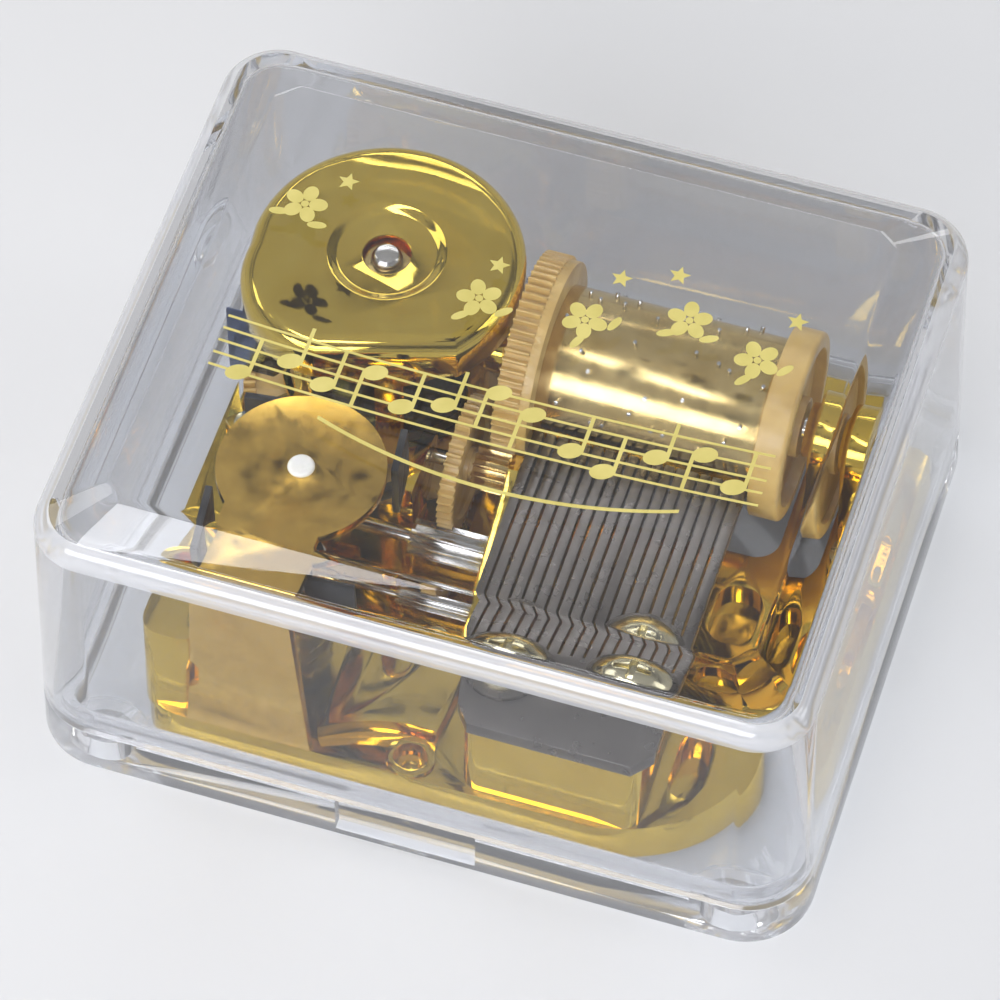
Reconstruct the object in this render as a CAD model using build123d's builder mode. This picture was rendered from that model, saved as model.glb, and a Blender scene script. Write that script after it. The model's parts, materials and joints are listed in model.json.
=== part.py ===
from build123d import *
import math
import os

# Wind-up music box: an 18-note pin-cylinder movement in a clear case that opens at the bottom seam.
# Frame: X to the right along the case front, Y towards the back, Z up.
# The origin is the middle of the case's underside. All sizes are in millimetres.

os.makedirs("parts", exist_ok=True)

# ---- driving dimensions -------------------------------------------------------------------------
CASE_W, CASE_D, CASE_H = 62.0, 52.6, 29.7
CASE_CORNER = 5.5
CASE_WALL = 2.0
CASE_DRAFT = 1.98
SHOULDER_Z, SHOULDER_R = 27.6, 2.0
PANEL_W, PANEL_D, PANEL_CORNER = 49.4, 40.3, 1.8
CEILING_FALL = 0.65
SEAM_Z = 4.8
FLOOR_Z = 2.0
INK = 0.03

SOCKET_X, SOCKET_Y = 25.1, 21.85
SOCKET_R, SOCKET_HOLE_R = 3.25, 2.1

DECK_Z = 5.7
WEB_Z = 3.1

BARREL_X, BARREL_Y = -13.5, 11.5
BARREL_TOP = 22.7
COVER_R = 10.8
DRUM_R = 8.6
DRUM_WALL = 0.6
ARBOR_R = 1.5
ARBOR_TOP_R = 1.2
WELL_R = 9.2

CYL_Y, CYL_Z = 11.5, 13.5
CYL_R = 6.4
CYL_X0, CYL_X1 = 0.3, 18.0
CYL_SHAFT_R = 0.8
END_DISC_R = 7.6
END_DISC_X = 20.4
GEAR_X0, GEAR_X1 = -2.5, -0.5

MODULE = 0.25
CYL_TEETH = 66
CROWN_TEETH = 92
PINION_A_TEETH = 12
SECOND_TEETH = 42
PINION_B_TEETH = 10
MESH_GAP = 0.08
WORM_MODULE = 0.3
WORM_WHEEL_TEETH = 25

SECOND_ANGLE = 194.4
THIRD_ANGLE = 205.2
GOV_X, GOV_Y = -13.5, -9.1
GOV_TOP = 21.9
PIVOT_R = 0.4
SHAFT_R = 0.6
RUN_FIT = 0.04

COMB_TOP = 14.0
COMB_THICK = 1.2
COMB_FRONT = -20.3
COMB_LEFT, COMB_RIGHT = 0.6, 17.85
COMB_TEETH = 18
COMB_SCREWS = [(4.8, -14.3), (14.3, -12.7)]
PIN_R, PIN_HEIGHT = 0.17, 0.42

# ---- derived places -----------------------------------------------------------------------------
cyl_pitch_r = CYL_TEETH * MODULE / 2
second_gap = cyl_pitch_r + PINION_A_TEETH * MODULE / 2 + MESH_GAP
SECOND_Y = CYL_Y + second_gap * math.cos(math.radians(SECOND_ANGLE))
SECOND_Z = CYL_Z + second_gap * math.sin(math.radians(SECOND_ANGLE))
third_gap = (SECOND_TEETH + PINION_B_TEETH) * MODULE / 2 + MESH_GAP
THIRD_Y = SECOND_Y + third_gap * math.cos(math.radians(THIRD_ANGLE))
THIRD_Z = SECOND_Z + third_gap * math.sin(math.radians(THIRD_ANGLE))
WORM_LEAD = math.pi * WORM_MODULE


def across(x, y, z):
    """Plane square to the X axis, its own x along world Y and its own y up."""
    return Plane(origin=(x, y, z), x_dir=(0, 1, 0), z_dir=(1, 0, 0))


def facing_front(x, y, z):
    """Plane square to the Y axis, its own x along world X, its own y up, its normal to the front."""
    return Plane(origin=(x, y, z), x_dir=(1, 0, 0), z_dir=(0, -1, 0))


def tooth_outline(teeth, module, phase, tip_share=0.2, root_share=0.5):
    """Corners of a ring of straight-flanked teeth. One tooth is centred on the angle phase."""
    pitch_r = teeth * module / 2
    tip_r = pitch_r + module
    root_r = pitch_r - 1.25 * module
    step = 360 / teeth
    corners = []
    for tooth in range(teeth):
        middle = phase + tooth * step
        for radius, offset in (
            (root_r, -root_share / 2),
            (tip_r, -tip_share / 2),
            (tip_r, tip_share / 2),
            (root_r, root_share / 2),
        ):
            angle = math.radians(middle + offset * step)
            corners.append((radius * math.cos(angle), radius * math.sin(angle)))
    return corners


# ==== case =======================================================================================

def case_outline(z, inset):
    """Width, depth and corner radius of the drafted case at height z, inside a wall of that inset."""
    shrink = inset + z * math.tan(math.radians(CASE_DRAFT))
    return CASE_W - 2 * shrink, CASE_D - 2 * shrink, CASE_CORNER - shrink


# Clear lid: drafted walls, a rounded shoulder, four slopes that rise to a flat panel, all hollow
# below. It drops over a lip on the base.
CEILING_Z = CASE_H - CASE_WALL
with BuildPart() as case_cover:
    with BuildSketch(Plane.XY):
        RectangleRounded(*case_outline(0, 0))
    with BuildSketch(Plane.XY.offset(SHOULDER_Z)):
        RectangleRounded(*case_outline(SHOULDER_Z, 0))
    loft(ruled=True)
    with BuildSketch(Plane.XY.offset(SHOULDER_Z)):
        RectangleRounded(*case_outline(SHOULDER_Z, 0))
    with BuildSketch(Plane.XY.offset(CASE_H)):
        RectangleRounded(PANEL_W, PANEL_D, PANEL_CORNER)
    loft(ruled=True)
    fillet(case_cover.edges().filter_by_position(Axis.Z, SHOULDER_Z - 0.01, SHOULDER_Z + 0.01), SHOULDER_R)
    with BuildSketch(Plane.XY):
        RectangleRounded(*case_outline(0, CASE_WALL))
    with BuildSketch(Plane.XY.offset(CEILING_Z - CEILING_FALL)):
        RectangleRounded(*case_outline(CEILING_Z - CEILING_FALL, CASE_WALL))
    loft(ruled=True, mode=Mode.SUBTRACT)
    with BuildSketch(Plane.XY.offset(CEILING_Z - CEILING_FALL)):
        RectangleRounded(*case_outline(CEILING_Z - CEILING_FALL, CASE_WALL))
    with BuildSketch(Plane.XY.offset(CEILING_Z)):
        RectangleRounded(PANEL_W - 0.8, PANEL_D - 0.8, PANEL_CORNER)
    loft(ruled=True, mode=Mode.SUBTRACT)
    split(bisect_by=Plane.XY.offset(SEAM_Z), keep=Keep.TOP)
case_cover.part.label = "case_cover"
export_step(case_cover.part, "parts/case_cover.step")

# Base tray: floor, low rim, a lip that guides the lid, four round sockets, the round well that the
# winding key folds into, and the holes of the three screws that hold the movement.
MOVEMENT_SCREWS = [(-1.2, -19.0), (21.6, -8.6), (-21.6, -11.0)]
LIP_TOP = 6.0
LIP_THICK = 0.7
with BuildPart() as case_base:
    with BuildSketch(Plane.XY):
        RectangleRounded(CASE_W, CASE_D, CASE_CORNER)
    extrude(amount=CASE_H, taper=CASE_DRAFT)
    split(bisect_by=Plane.XY.offset(SEAM_Z), keep=Keep.BOTTOM)
    fillet(case_base.faces().sort_by(Axis.Z)[0].edges(), 0.5)
    with BuildSketch(Plane.XY):
        RectangleRounded(CASE_W - 2 * CASE_WALL - 0.4, CASE_D - 2 * CASE_WALL - 0.4, CASE_CORNER - CASE_WALL)
    extrude(amount=LIP_TOP, taper=CASE_DRAFT)
    inner_w = CASE_W - 2 * CASE_WALL - 0.4 - 2 * LIP_THICK
    inner_d = CASE_D - 2 * CASE_WALL - 0.4 - 2 * LIP_THICK
    with BuildSketch(Plane.XY.offset(FLOOR_Z)):
        RectangleRounded(inner_w, inner_d, CASE_CORNER - CASE_WALL - LIP_THICK)
    extrude(amount=LIP_TOP, taper=CASE_DRAFT, mode=Mode.SUBTRACT)
    with BuildSketch(Plane.XY.offset(FLOOR_Z)):
        with GridLocations(2 * SOCKET_X, 2 * SOCKET_Y, 2, 2):
            Circle(SOCKET_R)
    extrude(amount=1.1)
    with BuildSketch(Plane.XY):
        with GridLocations(2 * SOCKET_X, 2 * SOCKET_Y, 2, 2):
            Circle(SOCKET_HOLE_R)
    extrude(amount=2.2, mode=Mode.SUBTRACT)
    with BuildSketch(Plane.XY):
        with Locations((BARREL_X, BARREL_Y)):
            Circle(WELL_R)
    extrude(amount=FLOOR_Z, mode=Mode.SUBTRACT)
    with BuildSketch(Plane.XY):
        with Locations(*MOVEMENT_SCREWS):
            Circle(0.95)
    extrude(amount=FLOOR_Z, mode=Mode.SUBTRACT)
    with BuildSketch(Plane.XY):
        with Locations(*MOVEMENT_SCREWS):
            Circle(1.9)
    extrude(amount=1.0, mode=Mode.SUBTRACT)
    # Finger notch in the front rim.
    with BuildSketch(Plane.XY.offset(1.0)):
        with Locations((0, -CASE_D / 2 - 0.1)):
            Rectangle(11.2, 2.0)
    extrude(amount=SEAM_Z, mode=Mode.SUBTRACT)
case_base.part.label = "case_base"
export_step(case_base.part, "parts/case_base.step")

# Three countersunk-style screws that come up through the floor into the bedplate.
with BuildPart() as movement_screws:
    with BuildSketch(Plane.XY.offset(0.1)):
        with Locations(*MOVEMENT_SCREWS):
            Circle(1.75)
    extrude(amount=0.88)
    with BuildSketch(Plane.XY.offset(0.9)):
        with Locations(*MOVEMENT_SCREWS):
            Circle(0.7)
    extrude(amount=3.4)
    with BuildSketch(Plane.XY.offset(0.1)):
        with Locations(*MOVEMENT_SCREWS):
            Rectangle(2.4, 0.4)
            Rectangle(0.4, 2.4)
    extrude(amount=0.5, mode=Mode.SUBTRACT)
movement_screws.part.label = "movement_screws"
export_step(movement_screws.part, "parts/movement_screws.step")

# ==== bedplate ===================================================================================

BED_LEFT, BED_RIGHT = -25.0, 24.6
BED_FRONT, BED_BACK = -20.9, 22.2
PEDESTAL_TOP = COMB_TOP - COMB_THICK
LUG_X, LUG_Y, LUG_TOP = -21.6, -11.0, 12.0
BOSS_X, BOSS_Y = MOVEMENT_SCREWS[0]
SECOND_POST_X = -7.4
THIRD_POST_X = -17.2
with BuildPart() as bedplate:
    # Outline with a stepped front-left corner and a broad curve at the front right.
    with BuildSketch(Plane.XY.offset(FLOOR_Z)):
        with BuildLine():
            front = Line((-19.2, BED_FRONT), (13.6, BED_FRONT))
            ThreePointArc(front @ 1, (21.0, -17.0), (BED_RIGHT, -11.0))
            right = Line((BED_RIGHT, -11.0), (BED_RIGHT, BED_BACK - 3))
            ThreePointArc(right @ 1, (BED_RIGHT - 0.88, BED_BACK - 0.88), (BED_RIGHT - 3, BED_BACK))
            back = Line((BED_RIGHT - 3, BED_BACK), (BED_LEFT + 3, BED_BACK))
            ThreePointArc(back @ 1, (BED_LEFT + 0.88, BED_BACK - 0.88), (BED_LEFT, BED_BACK - 3))
            left = Line((BED_LEFT, BED_BACK - 3), (BED_LEFT, -7.0))
            step = Line(left @ 1, (-24.0, -9.5))
            lug = ThreePointArc(step @ 1, (-24.05, -11.3), (-22.7, -13.2))
            side = Line(lug @ 1, (-22.7, -17.4))
            ThreePointArc(side @ 1, (-21.68, -19.87), front @ 0)
        make_face()
        with Locations((SOCKET_X, SOCKET_Y)):
            Circle(SOCKET_R + 0.4, mode=Mode.SUBTRACT)
    extrude(amount=DECK_Z - FLOOR_Z)
    # Relief below the back-left corner for the socket in the case floor.
    with BuildSketch(Plane.XY.offset(FLOOR_Z)):
        with Locations((-SOCKET_X, SOCKET_Y)):
            Circle(SOCKET_R + 0.4)
    extrude(amount=1.5, mode=Mode.SUBTRACT)
    # Hollow under the comb and under the governor.
    with BuildSketch(Plane.XY.offset(FLOOR_Z)):
        with Locations((9.6, -14.6)):
            RectangleRounded(12.0, 8.4, 1.5)
        with Locations((-10.5, -15.0)):
            RectangleRounded(11.0, 7.0, 1.5)
    extrude(amount=2.2, mode=Mode.SUBTRACT)
    # Raised deck between the governor and the comb, with a bowed front edge.
    with BuildSketch(Plane.XY.offset(DECK_Z)):
        with BuildLine():
            bow = ThreePointArc((-8.6, -19.3), (-4.8, -17.3), (0.2, -16.8))
            ridge = Line(bow @ 1, (1.1, -10.2))
            crest = ThreePointArc(ridge @ 1, (-3.2, -7.3), (-8.6, -9.2))
            Line(crest @ 1, bow @ 0)
        make_face()
    extrude(amount=1.3)
    # Round mark sunk into the raised deck.
    with BuildSketch(Plane.XY.offset(DECK_Z + 1.1)):
        with Locations((-4.6, -12.2)):
            Circle(1.5)
            Circle(1.2, mode=Mode.SUBTRACT)
    extrude(amount=0.3, mode=Mode.SUBTRACT)
    # Comb pedestal: a block with rounded corners under the front half of the comb.
    with BuildSketch(Plane.XY.offset(DECK_Z)):
        with Locations((10.1, -15.4)):
            RectangleRounded(14.0, 9.6, 1.4)
    extrude(amount=PEDESTAL_TOP - DECK_Z)
    # Corner pillar behind the governor bracket, and the lug beside it.
    with BuildSketch(Plane.XY.offset(DECK_Z - 0.6)):
        with Locations((-20.35, -17.95)):
            RectangleRounded(4.7, 4.1, 1.6)
    extrude(amount=14.4 - DECK_Z + 0.6)
    with BuildSketch(Plane.XY.offset(DECK_Z - 0.6)):
        with Locations((LUG_X, LUG_Y)):
            Circle(2.4)
        with Locations((-21.7, -14.2)):
            Rectangle(1.98, 6.0)
    extrude(amount=LUG_TOP - DECK_Z + 0.6)
    # Round recess that the crown wheel turns in, and the bore for the winding arbor.
    with BuildSketch(Plane.XY.offset(WEB_Z)):
        with Locations((BARREL_X, BARREL_Y)):
            Circle(12.15)
    extrude(amount=4.0, mode=Mode.SUBTRACT)
    with BuildSketch(Plane.XY.offset(FLOOR_Z)):
        with Locations((BARREL_X, BARREL_Y)):
            Circle(ARBOR_R + RUN_FIT)
    extrude(amount=2.0, mode=Mode.SUBTRACT)
    # Window under the cylinder.
    with BuildSketch(Plane.XY.offset(FLOOR_Z)):
        with Locations((8.8, 10.6)):
            RectangleRounded(23.4, 13.6, 2.0)
    extrude(amount=4.0, mode=Mode.SUBTRACT)
    # Slots below the second wheel and below the worm wheel.
    with BuildSketch(Plane.XY.offset(3.2)):
        with Locations((-4.2, SECOND_Y)):
            Rectangle(2.2, 8.0)
    extrude(amount=4.0, mode=Mode.SUBTRACT)
    with BuildSketch(Plane.XY.offset(3.6)):
        with Locations((GOV_X, THIRD_Y)):
            Rectangle(2.2, 7.4)
    extrude(amount=4.0, mode=Mode.SUBTRACT)
    # Bearing posts cast with the plate: second arbor and third arbor, left ends.
    with BuildSketch(Plane.XY.offset(DECK_Z - 0.5)):
        with Locations((SECOND_POST_X, -1.2)):
            Rectangle(1.0, 3.4)
    extrude(amount=SECOND_Z - DECK_Z + 0.5)
    with BuildSketch(across(SECOND_POST_X - 0.5, SECOND_Y, SECOND_Z)):
        with BuildLine():
            Polyline((-4.9, -3.4), (-0.6, -4.2), (1.6, 0), (-4.9, 0), close=True)
        make_face()
        Circle(1.6)
        with Locations((-2.4, 0)):
            Rectangle(4.9, 3.2)
    extrude(amount=1.0)
    with BuildSketch(across(THIRD_POST_X - 0.5, THIRD_Y, THIRD_Z)):
        Circle(1.5)
        with Locations((0, (DECK_Z - 0.5 - THIRD_Z) / 2)):
            Rectangle(3.0, THIRD_Z - DECK_Z + 0.5)
    extrude(amount=1.0)
    # Shaft holes through the two posts.
    with BuildSketch(across(SECOND_POST_X - 0.6, SECOND_Y, SECOND_Z)):
        Circle(0.9)
    extrude(amount=1.2, mode=Mode.SUBTRACT)
    with BuildSketch(across(THIRD_POST_X - 0.6, THIRD_Y, THIRD_Z)):
        Circle(0.9)
    extrude(amount=1.2, mode=Mode.SUBTRACT)
    # Seat of the governor's lower pivot.
    with BuildSketch(Plane.XY.offset(4.9)):
        with Locations((GOV_X, GOV_Y)):
            Circle(1.0)
    extrude(amount=1.0, mode=Mode.SUBTRACT)
    # Rounded pockets to the right of the comb.
    with BuildSketch(Plane.XY.offset(3.4)):
        with Locations((19.0, -1.8)):
            RectangleRounded(3.6, 5.4, 1.5)
        with Locations((22.6, -3.2)):
            RectangleRounded(2.2, 4.2, 1.0)
        with Locations((19.4, -13.6)):
            RectangleRounded(2.6, 4.6, 1.2)
    extrude(amount=4.0, mode=Mode.SUBTRACT)
    # Bosses at the front and at the right, drilled for the screws from below.
    with BuildSketch(Plane.XY.offset(DECK_Z - 0.5)):
        with Locations((BOSS_X, BOSS_Y)):
            Circle(1.95)
        with Locations(MOVEMENT_SCREWS[1]):
            Circle(1.9)
    extrude(amount=0.9)
    with BuildSketch(Plane.XY.offset(DECK_Z - 1.0)):
        with Locations((BOSS_X, BOSS_Y)):
            Circle(1.35)
    extrude(amount=2.0, mode=Mode.SUBTRACT)
    with BuildSketch(Plane.XY.offset(FLOOR_Z)):
        with Locations((BOSS_X, BOSS_Y), MOVEMENT_SCREWS[1]):
            Circle(0.75)
    extrude(amount=5.0, mode=Mode.SUBTRACT)
    with BuildSketch(Plane.XY.offset(FLOOR_Z)):
        with Locations((LUG_X, LUG_Y)):
            Circle(0.75)
    extrude(amount=LUG_TOP, mode=Mode.SUBTRACT)
    with BuildSketch(Plane.XY.offset(LUG_TOP - 5.0)):
        with Locations((LUG_X, LUG_Y)):
            Circle(1.45)
    extrude(amount=6.0, mode=Mode.SUBTRACT)
    # Threaded holes for the comb screws.
    with BuildSketch(Plane.XY.offset(PEDESTAL_TOP - 5.0)):
        with Locations(*COMB_SCREWS):
            Circle(1.05)
    extrude(amount=5.0, mode=Mode.SUBTRACT)
bedplate.part.label = "bedplate"
export_step(bedplate.part, "parts/bedplate.step")

# ==== spring barrel ==============================================================================

# Stamped cover: a round cap, a little squarer at the front left and flat at the front, with a
# rounded rim and a dished centre around the arbor.
COVER_Z = 18.9
with BuildPart() as barrel_cover:
    with BuildSketch(Plane(origin=(BARREL_X, BARREL_Y, COVER_Z))):
        with BuildLine():
            cap = CenterArc((0, 0), COVER_R, -42, 222)
            left_side = Line(cap @ 1, (-10.6, -2.0))
            corner = ThreePointArc(left_side @ 1, (-8.5, -8.1), (-2.4, -10.5))
            Line(corner @ 1, cap @ 0)
        make_face()
    extrude(amount=BARREL_TOP - COVER_Z)
    fillet(barrel_cover.faces().sort_by(Axis.Z)[-1].edges(), 1.5)
    offset(amount=-0.7, openings=barrel_cover.faces().sort_by(Axis.Z)[0])
    with BuildSketch(Plane.XZ.offset(-BARREL_Y)):
        with BuildLine():
            Polyline(
                (BARREL_X, BARREL_TOP + 1),
                (BARREL_X + 4.65, BARREL_TOP + 1),
                (BARREL_X + 4.65, BARREL_TOP),
                (BARREL_X + 3.9, BARREL_TOP - 0.45),
                (BARREL_X, BARREL_TOP - 0.45),
                close=True,
            )
        make_face()
    revolve(axis=Axis((BARREL_X, BARREL_Y, 0), (0, 0, 1)), mode=Mode.SUBTRACT)
    with BuildSketch(Plane.XY.offset(COVER_Z)):
        with Locations((BARREL_X, BARREL_Y)):
            Circle(1.9)
    extrude(amount=6, mode=Mode.SUBTRACT)
barrel_cover.part.label = "barrel_cover"
export_step(barrel_cover.part, "parts/barrel_cover.step")

# Drum under the cover: a ring wall with windows, a foot flange with three legs that straddle the
# crown wheel, and the boss that carries the cylinder's left journal.
DRUM_Z0, DRUM_Z1 = 6.2, 21.2
LEG_ANGLES = (44, 138, 225)
TAIL_DY = -4.5
with BuildPart() as barrel_drum:
    with BuildSketch(Plane.XY.offset(DRUM_Z0)):
        with Locations((BARREL_X, BARREL_Y)):
            Circle(DRUM_R)
            Circle(DRUM_R - DRUM_WALL, mode=Mode.SUBTRACT)
    extrude(amount=DRUM_Z1 - DRUM_Z0)
    with BuildSketch(Plane.XY.offset(DRUM_Z1 - 0.8)):
        with Locations((BARREL_X, BARREL_Y)):
            Circle(DRUM_R)
            Circle(2.2, mode=Mode.SUBTRACT)
    extrude(amount=0.8)
    with BuildSketch(Plane.XY.offset(DRUM_Z0)):
        for angle in LEG_ANGLES:
            with Locations(Location((BARREL_X, BARREL_Y, 0), (0, 0, angle))):
                with Locations((10.9, 0)):
                    Rectangle(5.8, 3.2)
        with Locations((BARREL_X, BARREL_Y)):
            Circle(DRUM_R - DRUM_WALL, mode=Mode.SUBTRACT)
    extrude(amount=1.0)
    with BuildSketch(Plane.XY.offset(DECK_Z)):
        for angle in LEG_ANGLES:
            with Locations(Location((BARREL_X, BARREL_Y, 0), (0, 0, angle))):
                with Locations((13.1, 0)):
                    Rectangle(1.4, 3.2)
    extrude(amount=DRUM_Z0 - DECK_Z)
    with BuildSketch(across(BARREL_X + DRUM_R - 0.4, CYL_Y, CYL_Z)):
        Circle(1.9)
    extrude(amount=2.2)
    with BuildSketch(across(BARREL_X + DRUM_R - 1.2, CYL_Y, CYL_Z)):
        Circle(CYL_SHAFT_R + RUN_FIT)
    extrude(amount=3.0, mode=Mode.SUBTRACT)
    # Windows in the wall. The left one also lets the tail of the mainspring out.
    with BuildSketch(Plane.XY.offset(8.2)):
        for angle in (208, 262, 315):
            with Locations(Location((BARREL_X, BARREL_Y, 0), (0, 0, angle))):
                with Locations((DRUM_R - 1.4, 0)):
                    Rectangle(5.0, 5.6)
    extrude(amount=8.4, mode=Mode.SUBTRACT)
barrel_drum.part.label = "barrel_drum"
export_step(barrel_drum.part, "parts/barrel_drum.step")

# One screw through each leg of the drum.
with BuildPart() as barrel_screws:
    for angle in LEG_ANGLES:
        turned = Location((BARREL_X, BARREL_Y, DRUM_Z0 + 1.0), (0, 0, angle))
        with Locations(turned * Location((12.6, 0, 0))):
            Cylinder(1.1, 0.8, align=(Align.CENTER, Align.CENTER, Align.MIN))
barrel_screws.part.label = "barrel_screws"
export_step(barrel_screws.part, "parts/barrel_screws.step")

# Mainspring: a flat strip wound in half-turn arcs whose centres alternate, with a straight tail
# that comes out through the left window. It is drawn clear of the arbor that turns inside it.
SPRING_Z0, SPRING_Z1 = 8.6, 16.2
SPRING_PITCH = 0.62
SPRING_T = 0.24
SPRING_R0 = 3.1
SPRING_HALF_TURNS = 14


def spring_arcs(side, last_sweep):
    """Half-turn arcs of one face of the strip, side being plus or minus half its thickness."""
    for half in range(SPRING_HALF_TURNS + 1):
        r_mean = SPRING_R0 + (half + 0.5) * SPRING_PITCH / 2
        shift = -SPRING_PITCH / 4 if half % 2 == 0 else SPRING_PITCH / 4
        start = 0 if half % 2 == 0 else 180
        sweep = last_sweep if half == SPRING_HALF_TURNS else 180
        CenterArc((shift, 0), r_mean + side, start, sweep)


with BuildPart() as mainspring:
    spring_plane = Plane(origin=(BARREL_X, BARREL_Y, SPRING_Z0))
    with BuildSketch(spring_plane):
        with BuildLine():
            spring_arcs(SPRING_T / 2, 180)
            spring_arcs(-SPRING_T / 2, 180)
            inner_x = SPRING_R0
            Line((inner_x - SPRING_T / 2, 0), (inner_x + SPRING_T / 2, 0))
            outer_x = -(SPRING_R0 + (SPRING_HALF_TURNS + 1) * SPRING_PITCH / 2)
            Line((outer_x - SPRING_T / 2, 0), (outer_x + SPRING_T / 2, 0))
        make_face()
    extrude(amount=SPRING_Z1 - SPRING_Z0)
    with BuildSketch(spring_plane):
        with BuildLine():
            tail = ThreePointArc((outer_x, 0), (outer_x + 0.35, -2.6), (outer_x - 0.5, TAIL_DY))
            run = Line(tail @ 1, (outer_x - 4.1, TAIL_DY))
        trace(line_width=SPRING_T)
    extrude(amount=SPRING_Z1 - SPRING_Z0)
mainspring.part.label = "mainspring"
export_step(mainspring.part, "parts/mainspring.step")

# Winding arbor: lower journal, drum that the spring grips, and the thin end seen in the cover.
CROWN_Z0 = 3.4
DRUM_SEAT_Z = 6.6
with BuildPart() as winding_arbor:
    with BuildSketch(Plane.XZ.offset(-BARREL_Y)):
        with BuildLine():
            Polyline(
                (BARREL_X, 0.5),
                (BARREL_X + 1.1, 0.5),
                (BARREL_X + 1.1, 2.1),
                (BARREL_X + ARBOR_R, 2.1),
                (BARREL_X + ARBOR_R, DRUM_SEAT_Z),
                (BARREL_X + 2.6, DRUM_SEAT_Z),
                (BARREL_X + 2.6, SPRING_Z1 + 1.6),
                (BARREL_X + ARBOR_TOP_R, SPRING_Z1 + 1.6),
                (BARREL_X + ARBOR_TOP_R, BARREL_TOP - 0.75),
                (BARREL_X + 0.9, BARREL_TOP - 0.35),
                (BARREL_X, BARREL_TOP - 0.25),
                close=True,
            )
        make_face()
    revolve(axis=Axis((BARREL_X, BARREL_Y, 0), (0, 0, 1)))
winding_arbor.part.label = "winding_arbor"
export_step(winding_arbor.part, "parts/winding_arbor.step")

# Bush in the top of the drum around the thin end of the arbor.
with BuildPart() as arbor_bush:
    with BuildSketch(Plane.XY.offset(DRUM_Z1 - 1.6)):
        with Locations((BARREL_X, BARREL_Y)):
            Circle(2.18)
            Circle(ARBOR_TOP_R + RUN_FIT, mode=Mode.SUBTRACT)
    extrude(amount=1.9)
arbor_bush.part.label = "arbor_bush"
export_step(arbor_bush.part, "parts/arbor_bush.step")

# Crown wheel: a disc with upright teeth near its rim, which drive the cylinder's gear.
CROWN_IN, CROWN_OUT = 10.8, 11.8
CROWN_FACE = 4.75
CROWN_TIP = 5.35
crown_phase = math.degrees(
    cyl_pitch_r * math.sin(math.radians((SECOND_ANGLE + 14 * 360 / CYL_TEETH) - 270)) / 11.5
)
with BuildPart() as crown_wheel:
    with BuildSketch(Plane.XY.offset(CROWN_Z0)):
        with Locations((BARREL_X, BARREL_Y)):
            Circle(CROWN_OUT)
            Circle(ARBOR_R + RUN_FIT, mode=Mode.SUBTRACT)
    extrude(amount=CROWN_FACE - CROWN_Z0)
    with BuildSketch(Plane.XY.offset(CROWN_FACE)):
        with Locations((BARREL_X, BARREL_Y)):
            with PolarLocations((CROWN_IN + CROWN_OUT) / 2, CROWN_TEETH, crown_phase + 180 / CROWN_TEETH):
                Rectangle(CROWN_OUT - CROWN_IN - 0.05, 0.26)
    extrude(amount=CROWN_TIP - CROWN_FACE)
crown_wheel.part.label = "crown_wheel"
export_step(crown_wheel.part, "parts/crown_wheel.step")

# Ratchet wheel fixed on the arbor, saw-toothed.
RATCHET_TEETH = 16
RATCHET_R = 3.3
with BuildPart() as ratchet_wheel:
    with BuildSketch(Plane(origin=(BARREL_X, BARREL_Y, CROWN_FACE + 0.1))):
        with BuildLine():
            saw = []
            for tooth in range(RATCHET_TEETH):
                for radius, part_of_step in ((RATCHET_R - 0.6, 0.0), (RATCHET_R, 0.92)):
                    angle = math.radians((tooth + part_of_step) * 360 / RATCHET_TEETH)
                    saw.append((radius * math.cos(angle), radius * math.sin(angle)))
            Polyline(*saw, close=True)
        make_face()
        Circle(ARBOR_R, mode=Mode.SUBTRACT)
    extrude(amount=0.9)
ratchet_wheel.part.label = "ratchet_wheel"
export_step(ratchet_wheel.part, "parts/ratchet_wheel.step")

# Click and its wire spring, carried by the crown wheel. The nose is drawn just off the teeth.
with BuildPart() as click:
    with BuildSketch(Plane(origin=(BARREL_X, BARREL_Y, CROWN_FACE))):
        with Locations((0, 5.0)):
            Circle(0.9)
        with BuildLine():
            Polyline((-0.5, 4.2), (-3.0, 3.0), (-2.2, 2.75), (0.6, 4.2), close=True)
        make_face()
        Circle(RATCHET_R + 0.08, mode=Mode.SUBTRACT)
    extrude(amount=0.9)
    with BuildSketch(Plane(origin=(BARREL_X, BARREL_Y, CROWN_FACE + 0.9))):
        with Locations((0, 5.0)):
            Circle(0.5)
    extrude(amount=0.3)
click.part.label = "click"
export_step(click.part, "parts/click.step")

with BuildPart() as click_spring:
    with BuildSketch(Plane(origin=(BARREL_X, BARREL_Y, CROWN_FACE))):
        with BuildLine():
            CenterArc((0, 0), 6.3, 95, 60)
        trace(line_width=0.3)
        with Locations((-5.7, 2.7)):
            Circle(0.6)
    extrude(amount=0.5)
click_spring.part.label = "click_spring"
export_step(click_spring.part, "parts/click_spring.step")

# ==== winding key ================================================================================

KEY_PIVOT_Z = 1.0
with BuildPart() as key_hub:
    with BuildSketch(Plane.XY.offset(0.3)):
        with Locations((BARREL_X, BARREL_Y)):
            Circle(2.6)
    extrude(amount=1.6)
    with BuildSketch(Plane.XY.offset(0.5)):
        with Locations((BARREL_X, BARREL_Y)):
            Circle(1.1)
    extrude(amount=2.0, mode=Mode.SUBTRACT)
    with BuildSketch(facing_front(BARREL_X + 1.85, BARREL_Y + 5, KEY_PIVOT_Z)):
        Circle(0.35)
    extrude(amount=10, mode=Mode.SUBTRACT)
key_hub.part.label = "key_hub"
export_step(key_hub.part, "parts/key_hub.step")

with BuildPart() as key_pin:
    with BuildSketch(facing_front(BARREL_X + 1.85, BARREL_Y + 3.9, KEY_PIVOT_Z)):
        Circle(0.35)
    extrude(amount=7.8)
key_pin.part.label = "key_pin"
export_step(key_pin.part, "parts/key_pin.step")

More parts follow.
